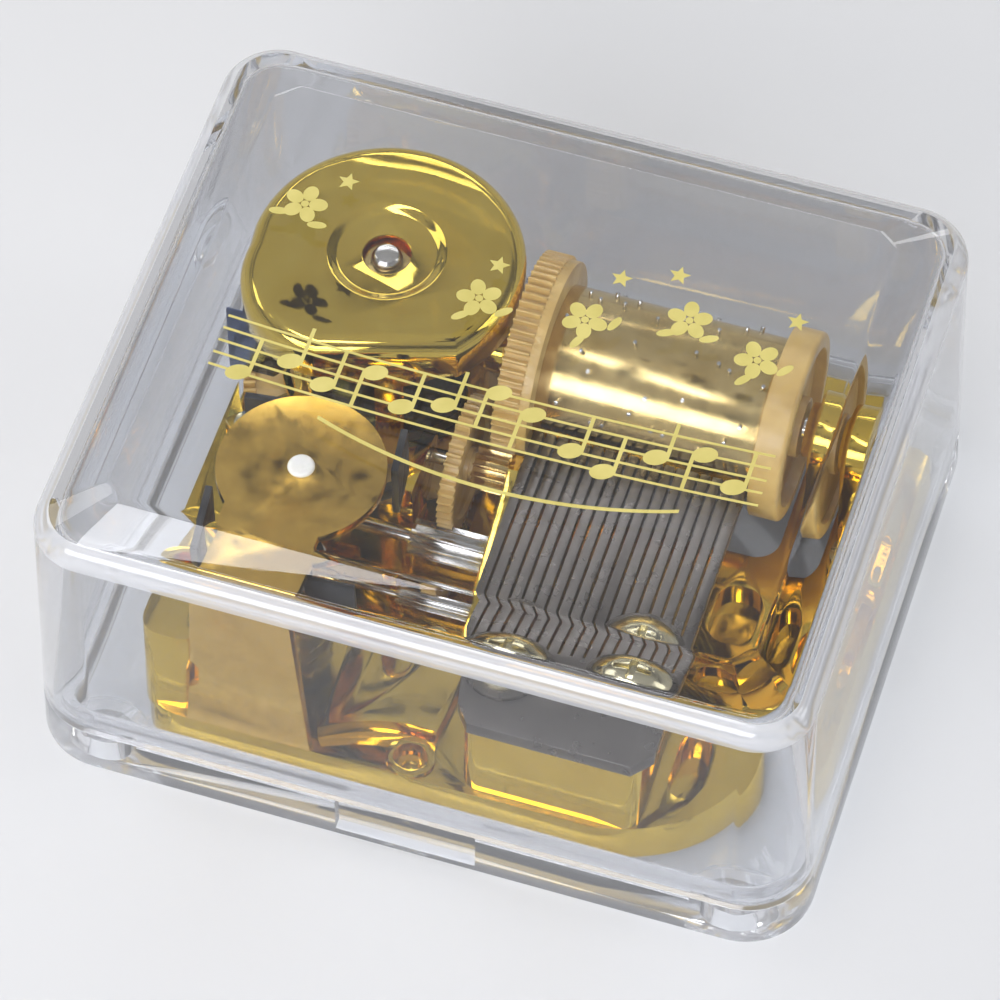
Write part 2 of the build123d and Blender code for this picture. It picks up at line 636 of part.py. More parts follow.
# Folding wing: a rounded loop of flat bar with an eye on each side of the hub.
with BuildPart() as key_wing:
    with BuildSketch(Plane(origin=(BARREL_X, BARREL_Y, KEY_PIVOT_Z - 0.55))):
        with Locations((-2.15, 0)):
            RectangleRounded(11.0, 8.0, 2.6)
        with Locations((-2.15, 0)):
            RectangleRounded(8.4, 5.6, 2.0, mode=Mode.SUBTRACT)
        with Locations((0.5, 0)):
            Rectangle(3.1, 5.6, mode=Mode.SUBTRACT)
        with Locations((4.0, 0)):
            Rectangle(4.3, 9.0, mode=Mode.SUBTRACT)
        Circle(2.75, mode=Mode.SUBTRACT)
    extrude(amount=1.1)
    with BuildSketch(facing_front(BARREL_X + 1.85, BARREL_Y + 3.95, KEY_PIVOT_Z)):
        Circle(0.65)
    extrude(amount=1.15)
    with BuildSketch(facing_front(BARREL_X + 1.85, BARREL_Y - 2.8, KEY_PIVOT_Z)):
        Circle(0.65)
    extrude(amount=1.15)
    with BuildSketch(facing_front(BARREL_X + 1.85, BARREL_Y + 6, KEY_PIVOT_Z)):
        Circle(0.35 + 0.05)
    extrude(amount=12, mode=Mode.SUBTRACT)
key_wing.part.label = "key_wing"
export_step(key_wing.part, "parts/key_wing.step")

# ==== cylinder ===================================================================================

with BuildPart() as cylinder_tube:
    with BuildSketch(across(CYL_X0, CYL_Y, CYL_Z)):
        Circle(CYL_R)
        Circle(CYL_R - 0.45, mode=Mode.SUBTRACT)
    extrude(amount=CYL_X1 - CYL_X0)
cylinder_tube.part.label = "cylinder_tube"
export_step(cylinder_tube.part, "parts/cylinder_tube.step")

# Melody pins: one ring of pins for each comb tooth, spaced by a simple repeating rule.
comb_pitch = (COMB_RIGHT - COMB_LEFT) / COMB_TEETH
with BuildPart() as cylinder_pins:
    for tooth in range(COMB_TEETH):
        pin_x = COMB_LEFT + (tooth + 0.5) * comb_pitch
        count = 3 + (tooth * 5) % 4
        for pin in range(count):
            angle = (tooth * 47 + pin * 360 / count + 13 * ((tooth + pin) % 3)) % 360
            spoke = Location((pin_x, CYL_Y, CYL_Z), (angle, 0, 0))
            with Locations(spoke * Location((0, 0, CYL_R - 0.2))):
                Cylinder(PIN_R, PIN_HEIGHT + 0.2, align=(Align.CENTER, Align.CENTER, Align.MIN))
cylinder_pins.part.label = "cylinder_pins"
export_step(cylinder_pins.part, "parts/cylinder_pins.step")

with BuildPart() as cylinder_gear:
    with BuildSketch(across(GEAR_X0, CYL_Y, CYL_Z)):
        with BuildLine():
            Polyline(*tooth_outline(CYL_TEETH, MODULE, SECOND_ANGLE), close=True)
        make_face()
    extrude(amount=GEAR_X1 - GEAR_X0)
    with BuildSketch(across(GEAR_X1, CYL_Y, CYL_Z)):
        Circle(8.2)
    extrude(amount=CYL_X0 - GEAR_X1)
    with BuildSketch(across(CYL_X0, CYL_Y, CYL_Z)):
        Circle(CYL_R - 0.5)
    extrude(amount=1.6)
    with BuildSketch(across(GEAR_X0, CYL_Y, CYL_Z)):
        Circle(6.6)
        Circle(2.2, mode=Mode.SUBTRACT)
    extrude(amount=0.8, mode=Mode.SUBTRACT)
    with BuildSketch(across(GEAR_X0, CYL_Y, CYL_Z)):
        Circle(CYL_SHAFT_R)
    extrude(amount=6, mode=Mode.SUBTRACT)
cylinder_gear.part.label = "cylinder_gear"
export_step(cylinder_gear.part, "parts/cylinder_gear.step")

with BuildPart() as cylinder_end_disc:
    with BuildSketch(across(CYL_X1, CYL_Y, CYL_Z)):
        Circle(END_DISC_R)
    extrude(amount=END_DISC_X - CYL_X1)
    fillet(cylinder_end_disc.faces().filter_by(Axis.X).sort_by(Axis.X)[-1].edges(), 0.4)
    with BuildSketch(across(END_DISC_X, CYL_Y, CYL_Z)):
        Circle(6.4)
        Circle(2.4, mode=Mode.SUBTRACT)
    extrude(amount=-0.9, mode=Mode.SUBTRACT)
    with BuildSketch(across(CYL_X1 - 1.6, CYL_Y, CYL_Z)):
        Circle(CYL_R - 0.5)
    extrude(amount=1.6)
    with BuildSketch(across(CYL_X1 - 2, CYL_Y, CYL_Z)):
        Circle(CYL_SHAFT_R)
    extrude(amount=6, mode=Mode.SUBTRACT)
cylinder_end_disc.part.label = "cylinder_end_disc"
export_step(cylinder_end_disc.part, "parts/cylinder_end_disc.step")

STANDARD_X0, STANDARD_X1 = 21.5, 24.3
with BuildPart() as cylinder_shaft:
    with BuildSketch(across(BARREL_X + DRUM_R + 0.2, CYL_Y, CYL_Z)):
        Circle(CYL_SHAFT_R)
    extrude(amount=STANDARD_X1 - 0.4 - (BARREL_X + DRUM_R + 0.2))
cylinder_shaft.part.label = "cylinder_shaft"
export_step(cylinder_shaft.part, "parts/cylinder_shaft.step")

# Right-hand standard: an upright with a round head, a hub towards the cylinder and a foot.
with BuildPart() as cylinder_standard:
    with BuildSketch(across(STANDARD_X0, CYL_Y, CYL_Z)):
        Circle(3.3)
        with Locations((0, (DECK_Z - CYL_Z) / 2)):
            Rectangle(6.6, CYL_Z - DECK_Z)
    extrude(amount=STANDARD_X1 - STANDARD_X0)
    with BuildSketch(across(20.75, CYL_Y, CYL_Z)):
        Circle(2.2)
    extrude(amount=STANDARD_X0 - 20.75)
    with BuildSketch(Plane.XY.offset(DECK_Z)):
        with Locations(((STANDARD_X0 + STANDARD_X1) / 2, CYL_Y - 5.0)):
            RectangleRounded(2.6, 5.0, 1.2)
    extrude(amount=1.2)
    with BuildSketch(across(20.0, CYL_Y, CYL_Z)):
        Circle(CYL_SHAFT_R + RUN_FIT)
    extrude(amount=6, mode=Mode.SUBTRACT)
cylinder_standard.part.label = "cylinder_standard"
export_step(cylinder_standard.part, "parts/cylinder_standard.step")

with BuildPart() as standard_screw:
    with BuildSketch(Plane.XY.offset(DECK_Z + 1.2)):
        with Locations(((STANDARD_X0 + STANDARD_X1) / 2, CYL_Y - 5.9)):
            Circle(1.1)
    extrude(amount=0.7)
    with BuildSketch(Plane.XY.offset(DECK_Z + 1.6)):
        with Locations(((STANDARD_X0 + STANDARD_X1) / 2, CYL_Y - 5.9)):
            Rectangle(3, 0.3)
    extrude(amount=0.4, mode=Mode.SUBTRACT)
standard_screw.part.label = "standard_screw"
export_step(standard_screw.part, "parts/standard_screw.step")

# ==== comb =======================================================================================

TIP_Y = CYL_Y - CYL_R - PIN_HEIGHT - 0.06
LEFT_SLANT = 1.8
with BuildPart() as comb:
    with BuildSketch(Plane.XY.offset(PEDESTAL_TOP)):
        with BuildLine():
            Polyline(
                (COMB_LEFT, TIP_Y),
                (COMB_LEFT + 0.2, -11.2),
                (COMB_LEFT + LEFT_SLANT, COMB_FRONT + 1.6),
                (COMB_LEFT + LEFT_SLANT + 1.2, COMB_FRONT),
                (COMB_RIGHT - 1.4, COMB_FRONT),
                (COMB_RIGHT, COMB_FRONT + 1.6),
                (COMB_RIGHT, TIP_Y),
                close=True,
            )
        make_face()
    extrude(amount=COMB_THICK)
    # Slots: each runs from the tips to the slanted root line, longer on the low-note side.
    with BuildSketch(Plane.XY.offset(PEDESTAL_TOP)):
        for slot in range(1, COMB_TEETH):
            root_y = -13.1 + 3.0 * (slot - 1) / (COMB_TEETH - 2)
            with Locations((COMB_LEFT + slot * comb_pitch, (root_y + TIP_Y + 0.5) / 2)):
                Rectangle(0.2, TIP_Y + 0.5 - root_y)
    extrude(amount=COMB_THICK, mode=Mode.SUBTRACT)
    # The blades are ground thinner from below than the body.
    with BuildSketch(Plane.YZ.offset(COMB_LEFT - 1)):
        with BuildLine():
            Polyline(
                (TIP_Y + 1, PEDESTAL_TOP - 1),
                (TIP_Y + 1, PEDESTAL_TOP + 0.35),
                (-5.0, PEDESTAL_TOP + 0.35),
                (-10.4, PEDESTAL_TOP),
                (-10.4, PEDESTAL_TOP - 1),
                close=True,
            )
        make_face()
    extrude(amount=COMB_RIGHT - COMB_LEFT + 2, mode=Mode.SUBTRACT)
    with BuildSketch(Plane.XY.offset(PEDESTAL_TOP)):
        with Locations(*COMB_SCREWS):
            Circle(1.3)
    extrude(amount=COMB_THICK, mode=Mode.SUBTRACT)
comb.part.label = "comb"
export_step(comb.part, "parts/comb.step")

# Tuning weights under the free ends of the low-note blades.
with BuildPart() as comb_weights:
    for tooth in range(8):
        weight_x = COMB_LEFT + (tooth + 0.5) * comb_pitch
        weight_l = 4.2 - 0.35 * tooth
        with BuildSketch(Plane.XY.offset(PEDESTAL_TOP + 0.35 - 1.3)):
            with Locations((weight_x, TIP_Y - 0.9 - weight_l / 2)):
                Rectangle(0.66, weight_l)
        extrude(amount=1.3)
comb_weights.part.label = "comb_weights"
export_step(comb_weights.part, "parts/comb_weights.step")

with BuildPart() as comb_washers:
    with BuildSketch(Plane.XY.offset(COMB_TOP)):
        with Locations(*COMB_SCREWS):
            Circle(3.6)
        with Locations(*COMB_SCREWS):
            Circle(1.3, mode=Mode.SUBTRACT)
    extrude(amount=0.35)
comb_washers.part.label = "comb_washers"
export_step(comb_washers.part, "parts/comb_washers.step")

SCREW_HEAD_R, SCREW_HEAD_H = 3.1, 1.8
with BuildPart() as comb_screws:
    for screw_x, screw_y in COMB_SCREWS:
        with BuildSketch(Plane.XZ.offset(-screw_y)):
            with BuildLine():
                base_line = Line((screw_x, COMB_TOP + 0.35), (screw_x + SCREW_HEAD_R, COMB_TOP + 0.35))
                rim = Line(base_line @ 1, (screw_x + SCREW_HEAD_R, COMB_TOP + 0.75))
                dome = ThreePointArc(
                    rim @ 1,
                    (screw_x + 0.62 * SCREW_HEAD_R, COMB_TOP + 0.35 + 0.8 * SCREW_HEAD_H),
                    (screw_x, COMB_TOP + 0.35 + SCREW_HEAD_H),
                )
                Line(dome @ 1, base_line @ 0)
            make_face()
        revolve(axis=Axis((screw_x, screw_y, 0), (0, 0, 1)))
    with BuildSketch(Plane.XY.offset(PEDESTAL_TOP - 4.5)):
        with Locations(*COMB_SCREWS):
            Circle(1.0)
    extrude(amount=4.5 + COMB_THICK + 0.5)
    with BuildSketch(Plane.XY.offset(COMB_TOP + 1.1)):
        with Locations(*COMB_SCREWS):
            Rectangle(2.9, 0.6)
            Rectangle(0.6, 2.9)
    extrude(amount=2, mode=Mode.SUBTRACT)
comb_screws.part.label = "comb_screws"
export_step(comb_screws.part, "parts/comb_screws.step")

# ==== wheel train ================================================================================

# Second arbor: pinion driven by the cylinder's gear, and the large second wheel.
SECOND_WHEEL_X = -4.8
PLATE_X = -0.4
with BuildPart() as second_arbor:
    with BuildSketch(across(SECOND_POST_X - 0.5, SECOND_Y, SECOND_Z)):
        Circle(SHAFT_R)
    extrude(amount=0.4 - (SECOND_POST_X - 0.5))
second_arbor.part.label = "second_arbor"
export_step(second_arbor.part, "parts/second_arbor.step")

with BuildPart() as first_pinion:
    with BuildSketch(across(SECOND_WHEEL_X + 1.5, SECOND_Y, SECOND_Z)):
        with BuildLine():
            toward_cylinder = SECOND_ANGLE - 180 + 180 / PINION_A_TEETH
            Polyline(*tooth_outline(PINION_A_TEETH, MODULE, toward_cylinder, 0.14, 0.4), close=True)
        make_face()
        Circle(SHAFT_R, mode=Mode.SUBTRACT)
    extrude(amount=PLATE_X - 0.15 - (SECOND_WHEEL_X + 1.5))
first_pinion.part.label = "first_pinion"
export_step(first_pinion.part, "parts/first_pinion.step")

with BuildPart() as second_wheel:
    with BuildSketch(across(SECOND_WHEEL_X, SECOND_Y, SECOND_Z)):
        with BuildLine():
            Polyline(*tooth_outline(SECOND_TEETH, MODULE, THIRD_ANGLE), close=True)
        make_face()
        Circle(SHAFT_R, mode=Mode.SUBTRACT)
    extrude(amount=1.2)
    with BuildSketch(across(SECOND_WHEEL_X + 1.2, SECOND_Y, SECOND_Z)):
        Circle(1.1)
        Circle(SHAFT_R, mode=Mode.SUBTRACT)
    extrude(amount=0.3)
    with BuildSketch(across(SECOND_WHEEL_X, SECOND_Y, SECOND_Z)):
        Circle(4.4)
        Circle(1.4, mode=Mode.SUBTRACT)
    extrude(amount=0.35, mode=Mode.SUBTRACT)
    with BuildSketch(across(SECOND_WHEEL_X + 0.85, SECOND_Y, SECOND_Z)):
        Circle(4.4)
        Circle(1.4, mode=Mode.SUBTRACT)
    extrude(amount=0.35, mode=Mode.SUBTRACT)
second_wheel.part.label = "second_wheel"
export_step(second_wheel.part, "parts/second_wheel.step")

# Third arbor: pinion driven by the second wheel, and the worm wheel.
with BuildPart() as third_arbor:
    with BuildSketch(across(THIRD_POST_X - 0.5, THIRD_Y, THIRD_Z)):
        Circle(SHAFT_R)
    extrude(amount=0.4 - (THIRD_POST_X - 0.5))
third_arbor.part.label = "third_arbor"
export_step(third_arbor.part, "parts/third_arbor.step")

with BuildPart() as second_pinion:
    with BuildSketch(across(-6.6, THIRD_Y, THIRD_Z)):
        with BuildLine():
            toward_second = THIRD_ANGLE - 180 + 180 / PINION_B_TEETH
            Polyline(*tooth_outline(PINION_B_TEETH, MODULE, toward_second, 0.14, 0.4), close=True)
        make_face()
        Circle(SHAFT_R, mode=Mode.SUBTRACT)
    extrude(amount=PLATE_X - 0.15 + 6.6)
second_pinion.part.label = "second_pinion"
export_step(second_pinion.part, "parts/second_pinion.step")

with BuildPart() as worm_wheel:
    with BuildSketch(across(GOV_X - 0.6, THIRD_Y, THIRD_Z)):
        with BuildLine():
            Polyline(*tooth_outline(WORM_WHEEL_TEETH, WORM_MODULE, 180), close=True)
        make_face()
        Circle(SHAFT_R, mode=Mode.SUBTRACT)
    extrude(amount=1.2)
    with BuildSketch(across(GOV_X + 0.6, THIRD_Y, THIRD_Z)):
        Circle(1.3)
        Circle(SHAFT_R, mode=Mode.SUBTRACT)
    extrude(amount=1.4)
worm_wheel.part.label = "worm_wheel"
export_step(worm_wheel.part, "parts/worm_wheel.step")

# Bearing plate to the left of the comb, bent from sheet, with its foot screwed to the raised deck.
RAISED_Z = DECK_Z + 1.3
with BuildPart() as train_plate:
    with BuildSketch(across(PLATE_X, 0, 0)):
        with BuildLine():
            Polyline(
                (-10.3, RAISED_Z),
                (-10.3, RAISED_Z + 1.2),
                (THIRD_Y - 2.2, THIRD_Z + 1.6),
                (SECOND_Y - 2.2, SECOND_Z + 1.4),
                (SECOND_Y - 0.8, SECOND_Z + 2.0),
                (SECOND_Y + 0.9, SECOND_Z + 1.6),
                (SECOND_Y + 1.5, SECOND_Z - 0.6),
                (SECOND_Y - 1.6, DECK_Z),
                (THIRD_Y - 1.0, DECK_Z),
                (THIRD_Y - 2.2, RAISED_Z),
                close=True,
            )
        make_face()
    extrude(amount=0.8)
    with BuildSketch(Plane.XY.offset(RAISED_Z)):
        with Locations((-1.8, -9.0)):
            RectangleRounded(3.6, 2.6, 0.6)
    extrude(amount=0.8)
    with BuildSketch(across(PLATE_X - 0.1, THIRD_Y, THIRD_Z)):
        Circle(0.9)
        with Locations((SECOND_Y - THIRD_Y, SECOND_Z - THIRD_Z)):
            Circle(0.9)
    extrude(amount=1.0, mode=Mode.SUBTRACT)
train_plate.part.label = "train_plate"
export_step(train_plate.part, "parts/train_plate.step")

with BuildPart() as plate_screw:
    with BuildSketch(Plane.XY.offset(RAISED_Z + 0.8)):
        with Locations((-2.3, -9.0)):
            Circle(0.95)
    extrude(amount=0.7)
    fillet(plate_screw.faces().sort_by(Axis.Z)[-1].edges(), 0.4)
plate_screw.part.label = "plate_screw"
export_step(plate_screw.part, "parts/plate_screw.step")

# Brass bushes in the posts and in the plate.
BUSHES = [
    (SECOND_POST_X - 0.5, 1.0, SECOND_Y, SECOND_Z),
    (THIRD_POST_X - 0.5, 1.0, THIRD_Y, THIRD_Z),
    (PLATE_X, 0.8, SECOND_Y, SECOND_Z),
    (PLATE_X, 0.8, THIRD_Y, THIRD_Z),
]
with BuildPart() as arbor_bushes:
    for bush_x, bush_l, bush_y, bush_z in BUSHES:
        with BuildSketch(across(bush_x, bush_y, bush_z)):
            Circle(0.9)
            Circle(SHAFT_R + RUN_FIT, mode=Mode.SUBTRACT)
        extrude(amount=bush_l)
arbor_bushes.part.label = "arbor_bushes"
export_step(arbor_bushes.part, "parts/arbor_bushes.step")

# ==== governor ===================================================================================

BRACKET_T = 0.9
BUTTON_R = 1.05
DISC_BOTTOM = GOV_TOP - BRACKET_T
with BuildPart() as governor_bracket:
    with BuildSketch(Plane.XY.offset(DISC_BOTTOM)):
        with Locations((GOV_X, GOV_Y)):
            Circle(6.5)
        with Locations((-14.1, (GOV_Y - 20.9) / 2)):
            Rectangle(7.7, -20.9 + 2 * 20.9 + GOV_Y)
        with Locations((GOV_X, GOV_Y)):
            Circle(BUTTON_R, mode=Mode.SUBTRACT)
    extrude(amount=BRACKET_T)
    with BuildSketch(facing_front(0, -20.9 + BRACKET_T, 0)):
        with BuildLine():
            Polyline(
                (-17.95, GOV_TOP),
                (-18.2, 13.4),
                (-17.5, 12.7),
                (-17.6, 10.6),
                (-18.4, 9.9),
                (-18.7, DECK_Z),
                (-8.8, DECK_Z),
                (-10.25, GOV_TOP),
                close=True,
            )
        make_face()
    extrude(amount=BRACKET_T)
    outer_bend = governor_bracket.edges().filter_by(Axis.X).group_by(Axis.Y)[0].sort_by(Axis.Z)[-1]
    fillet(outer_bend, 0.8)
governor_bracket.part.label = "governor_bracket"
export_step(governor_bracket.part, "parts/governor_bracket.step")

with BuildPart() as pivot_button:
    with BuildSketch(Plane.XY.offset(DISC_BOTTOM)):
        with Locations((GOV_X, GOV_Y)):
            Circle(BUTTON_R)
    extrude(amount=BRACKET_T + 0.25)
    fillet(pivot_button.faces().sort_by(Axis.Z)[-1].edges(), 0.3)
    with BuildSketch(Plane.XY.offset(DISC_BOTTOM)):
        with Locations((GOV_X, GOV_Y)):
            Circle(PIVOT_R + 0.05)
    extrude(amount=0.6, mode=Mode.SUBTRACT)
pivot_button.part.label = "pivot_button"
export_step(pivot_button.part, "parts/pivot_button.step")

with BuildPart() as lower_pivot:
    with BuildSketch(Plane.XY.offset(4.9)):
        with Locations((GOV_X, GOV_Y)):
            Circle(0.98)
    extrude(amount=0.8)
    with BuildSketch(Plane.XY.offset(5.2)):
        with Locations((GOV_X, GOV_Y)):
            Circle(PIVOT_R + 0.05)
    extrude(amount=1.0, mode=Mode.SUBTRACT)
lower_pivot.part.label = "lower_pivot"
export_step(lower_pivot.part, "parts/lower_pivot.step")

# Worm spindle: pivots at both ends and a single-start thread at the worm wheel's height.
WORM_CORE_R, WORM_TIP_R = 0.95, 1.66
WORM_TURNS = 4
worm_z0 = THIRD_Z + WORM_LEAD / 4 - 2 * WORM_LEAD
with BuildPart() as worm_spindle:
    with BuildSketch(Plane.XY.offset(5.25)):
        with Locations((GOV_X, GOV_Y)):
            Circle(PIVOT_R)
    extrude(amount=DISC_BOTTOM + 0.5 - 5.25)
    with BuildSketch(Plane.XY.offset(5.9)):
        with Locations((GOV_X, GOV_Y)):
            Circle(WORM_CORE_R)
    extrude(amount=5.4)
    with BuildSketch(Plane.XY.offset(11.3)):
        with Locations((GOV_X, GOV_Y)):
            Circle(SHAFT_R)
    extrude(amount=DISC_BOTTOM - 0.3 - 11.3)
    with BuildLine(Plane(origin=(GOV_X, GOV_Y, worm_z0))) as thread_path:
        Helix(WORM_LEAD, WORM_TURNS * WORM_LEAD, WORM_CORE_R)
    with BuildSketch(Plane(origin=thread_path.line @ 0, x_dir=(1, 0, 0), z_dir=thread_path.line % 0)):
        with BuildLine():
            depth = WORM_TIP_R - WORM_CORE_R
            Polyline((-0.15, -0.21), (depth, -0.09), (depth, 0.09), (-0.15, 0.21), close=True)
        make_face()
    sweep(path=thread_path.line, is_frenet=True)
worm_spindle.part.label = "worm_spindle"
export_step(worm_spindle.part, "parts/worm_spindle.step")

# Air brake: a hub with four arms that carry slanted vanes.
FAN_Z0, FAN_Z1 = 12.9, 20.3
VANE_Z0 = 14.7
VANE_ANGLES = (-53, 37, 127, 217)
with BuildPart() as governor_fan:
    with BuildSketch(Plane.XY.offset(FAN_Z0)):
        with Locations((GOV_X, GOV_Y)):
            Circle(1.4)
            Circle(SHAFT_R, mode=Mode.SUBTRACT)
    extrude(amount=FAN_Z1 - FAN_Z0)
    with BuildSketch(Plane.XY.offset(VANE_Z0)):
        for angle in VANE_ANGLES:
            with Locations(Location((GOV_X, GOV_Y, 0), (0, 0, angle))):
                with Locations((4.6, 0)):
                    Rectangle(6.8, 0.7)
    extrude(amount=1.2)
    with BuildSketch(Plane.XY.offset(VANE_Z0)):
        for angle in VANE_ANGLES:
            with Locations(Location((GOV_X, GOV_Y, 0), (0, 0, angle))):
                with Locations(Location((7.8, 0, 0), (0, 0, 60))):
                    Rectangle(3.9, 0.55)
    extrude(amount=FAN_Z1 - VANE_Z0)
governor_fan.part.label = "governor_fan"
export_step(governor_fan.part, "parts/governor_fan.step")

# ==== printed decoration =========================================================================

# A five-line stave with notes and a slur below it, blossoms with leaves, and small stars.


def band(x0, x1, y_of, width):
    """A thin bowed strip whose middle line runs from x0 to x1 through the heights y_of gives."""
    xm = (x0 + x1) / 2
    for side in (width / 2, -width / 2):
        ThreePointArc((x0, y_of(x0) + side), (xm, y_of(xm) + side), (x1, y_of(x1) + side))
    for x in (x0, x1):
        Line((x, y_of(x) - width / 2), (x, y_of(x) + width / 2))


def star_corners(x, y, outer, points=5, waist=0.45):
    """Corners of a star centred on a place."""
    corners = []
    for corner in range(2 * points):
        radius = outer if corner % 2 == 0 else waist * outer
        angle = math.radians(90 + 180 * corner / points)
        corners.append((x + radius * math.cos(angle), y + radius * math.sin(angle)))
    return corners


STAVE_HALF = 21.4
STAVE_PITCH = 1.15
STAVE_FOOT = -7.5
SLUR_LEFT, SLUR_RIGHT = -12.0, 16.0


def stave_line(line):
    """Height of one line of the stave, as a function of x."""
    return lambda x: STAVE_FOOT + line * STAVE_PITCH + 0.7 * (x / STAVE_HALF) ** 2


def slur(x):
    """Height of the slur below the stave."""
    middle = (SLUR_LEFT + SLUR_RIGHT) / 2
    return -11.4 + 0.012 * (x - middle) ** 2


NOTES = [
    (-19.0, 0, 1), (-15.6, 2, 1), (-12.6, 1, 1), (-9.2, 3, -1), (-6.4, 1, 1), (-3.4, 2, 1),
    (0.2, 4, -1), (3.2, 3, -1), (6.8, 1, 1), (9.6, 0, 1), (13.0, 2, 1), (16.4, 3, -1), (19.2, 1, 1),
]
BLOSSOMS = [(-19.3, 9.5, 10), (-3.9, 5.0, 40), (4.3, 5.5, 65), (11.8, 7.8, 25), (17.7, 5.8, 50)]
BLOSSOM_R, PETAL_R = 1.05, 0.72
STARS = [(-16.8, 12.5), (-3.4, 8.4), (5.8, 10.0), (9.9, 11.6), (19.6, 10.1)]
STAR_R = 0.85
with BuildPart() as top_print:
    with BuildSketch(Plane.XY.offset(CASE_H)):
        for line in range(5):
            with BuildLine():
                band(-STAVE_HALF, STAVE_HALF, stave_line(line), 0.2)
            make_face()
        for note_x, line, up in NOTES:
            note_y = stave_line(line)(note_x)
            with Locations(Location((note_x, note_y, 0), (0, 0, 24))):
                Ellipse(0.98, 0.68)
            with Locations((note_x + 0.8 * up, note_y + 1.7 * up)):
                Rectangle(0.3, 3.4)
        with BuildLine():
            band(SLUR_LEFT, SLUR_RIGHT, slur, 0.3)
        make_face()
        for flower_x, flower_y, turn in BLOSSOMS:
            with Locations(Location((flower_x, flower_y, 0), (0, 0, turn))):
                with PolarLocations(BLOSSOM_R, 5):
                    Ellipse(PETAL_R, PETAL_R * 0.8)
                with Locations((-1.9, -0.9), (1.2, -1.9)):
                    Ellipse(0.75, 0.32)
            with Locations((flower_x, flower_y)):
                Circle(0.3)
        for star_x, star_y in STARS:
            with BuildLine():
                Polyline(*star_corners(star_x, star_y, STAR_R), close=True)
            make_face()
    extrude(amount=INK)
top_print.part.label = "top_print"
export_step(top_print.part, "parts/top_print.step")
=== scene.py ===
import json
import math

import bmesh
import bpy
from mathutils import Matrix, Vector

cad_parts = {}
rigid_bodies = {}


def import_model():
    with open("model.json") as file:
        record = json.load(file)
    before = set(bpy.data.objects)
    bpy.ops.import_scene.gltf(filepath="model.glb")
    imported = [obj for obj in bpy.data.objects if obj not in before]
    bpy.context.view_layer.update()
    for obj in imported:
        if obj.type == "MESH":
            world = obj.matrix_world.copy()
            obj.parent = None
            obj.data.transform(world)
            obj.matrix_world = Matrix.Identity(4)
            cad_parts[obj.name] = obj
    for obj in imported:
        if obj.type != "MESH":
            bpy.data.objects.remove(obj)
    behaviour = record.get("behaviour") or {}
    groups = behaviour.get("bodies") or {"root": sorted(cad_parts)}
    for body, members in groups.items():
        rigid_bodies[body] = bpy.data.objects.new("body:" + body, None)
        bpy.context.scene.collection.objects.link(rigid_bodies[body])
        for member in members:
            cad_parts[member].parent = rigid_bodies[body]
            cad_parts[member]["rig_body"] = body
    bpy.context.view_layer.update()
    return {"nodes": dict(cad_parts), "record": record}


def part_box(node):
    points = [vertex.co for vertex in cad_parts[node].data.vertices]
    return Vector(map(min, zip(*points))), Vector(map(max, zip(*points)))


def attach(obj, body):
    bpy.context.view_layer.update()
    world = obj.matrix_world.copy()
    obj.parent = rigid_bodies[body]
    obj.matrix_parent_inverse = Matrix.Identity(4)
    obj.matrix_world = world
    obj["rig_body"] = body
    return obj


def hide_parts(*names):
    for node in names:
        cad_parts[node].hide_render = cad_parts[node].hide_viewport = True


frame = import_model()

# Wind-up music box in a clear case. Everything is placed from the frame's own boxes, in metres.
MM = 0.001
SCENE = bpy.context.scene
NODES = frame["nodes"]

# ==== materials ==================================================================================


def start_material(name):
    """A new node material. Returns it with its nodes, its links and its Principled shader."""
    material = bpy.data.materials.new(name)
    material.use_nodes = True
    tree = material.node_tree
    return material, tree.nodes, tree.links, tree.nodes["Principled BSDF"]


def noise(nodes, links, scale, detail=3.0, stretch=(1, 1, 1)):
    """Noise over the object's own coordinates, in features per metre, stretched by axis."""
    coordinates = nodes.new("ShaderNodeTexCoord")
    mapping = nodes.new("ShaderNodeMapping")
    mapping.inputs["Scale"].default_value = stretch
    texture = nodes.new("ShaderNodeTexNoise")
    texture.inputs["Scale"].default_value = scale
    texture.inputs["Detail"].default_value = detail
    links.new(coordinates.outputs["Object"], mapping.inputs["Vector"])
    links.new(mapping.outputs["Vector"], texture.inputs["Vector"])
    return texture.outputs["Fac"]


def ranged(nodes, links, value, low, high):
    """The value's middle range mapped to low and high."""
    remap = nodes.new("ShaderNodeMapRange")
    remap.inputs["From Min"].default_value = 0.3
    remap.inputs["From Max"].default_value = 0.7
    remap.inputs["To Min"].default_value = low
    remap.inputs["To Max"].default_value = high
    links.new(value, remap.inputs["Value"])
    return remap.outputs["Result"]


def two_tone(nodes, links, value, low, high):
    """A colour between low and high, by the value."""
    ramp = nodes.new("ShaderNodeValToRGB")
    ramp.color_ramp.elements[0].position = 0.3
    ramp.color_ramp.elements[1].position = 0.7
    ramp.color_ramp.elements[0].color = (*low, 1)
    ramp.color_ramp.elements[1].color = (*high, 1)
    links.new(value, ramp.inputs["Fac"])
    return ramp.outputs["Color"]


def bumped(nodes, links, value, height, strength, shader, under=None):
    """Adds a bump of that height in metres to the shader's normal, on top of another bump if given."""
    bump = nodes.new("ShaderNodeBump")
    bump.inputs["Strength"].default_value = strength
    bump.inputs["Distance"].default_value = height
    links.new(value, bump.inputs["Height"])
    if under is not None:
        links.new(under, bump.inputs["Normal"])
    links.new(bump.outputs["Normal"], shader.inputs["Normal"])
    return bump.outputs["Normal"]


